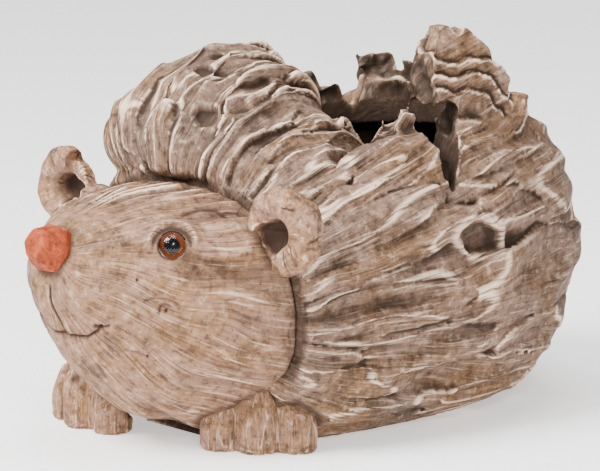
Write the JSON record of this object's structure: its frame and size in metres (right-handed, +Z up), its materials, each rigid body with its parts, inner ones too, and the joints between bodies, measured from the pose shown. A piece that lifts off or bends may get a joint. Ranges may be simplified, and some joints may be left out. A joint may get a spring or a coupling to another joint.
{
  "type": "animal planter",
  "caption": "Hedgehog planter of driftwood-textured cast resin with an open planting hollow in its back, inset glass eyes and a lift-out drain plug.",
  "frame": {"origin": "middle of the flat base that the planter stands on, below the left-right middle of the body", "axes": "+Z up, the animal faces -Y, its left flank is +X"},
  "size_m": [0.1801, 0.2805, 0.174],
  "materials": {
    "driftwood_resin": "matt, dark wash in the grooves and pale dry-brushed edges",
    "face_resin": "matt, fine pale grain lines",
    "terracotta_paint": "satin paint",
    "iris_paint": "painted brown iris round a black pupil",
    "clear_glass": "polished",
    "black_rubber": "matt"
  },
  "bodies": {
    "planter": {"pot_casting": "driftwood_resin", "head_casting": "face_resin", "ear_left": "face_resin", "ear_right": "face_resin", "paw_left": "face_resin", "paw_right": "face_resin", "nose": "terracotta_paint", "eye_left_iris": "iris_paint", "eye_right_iris": "iris_paint", "eye_left_lens": "clear_glass", "eye_right_lens": "clear_glass"},
    "plug": {"drain_plug": "black_rubber"}
  },
  "joints": [
    {"name": "plug_lift", "type": "slide", "parent": "planter", "child": "plug", "axis": [0, 0, 1], "range_m": [0, 0.18]}
  ]
}
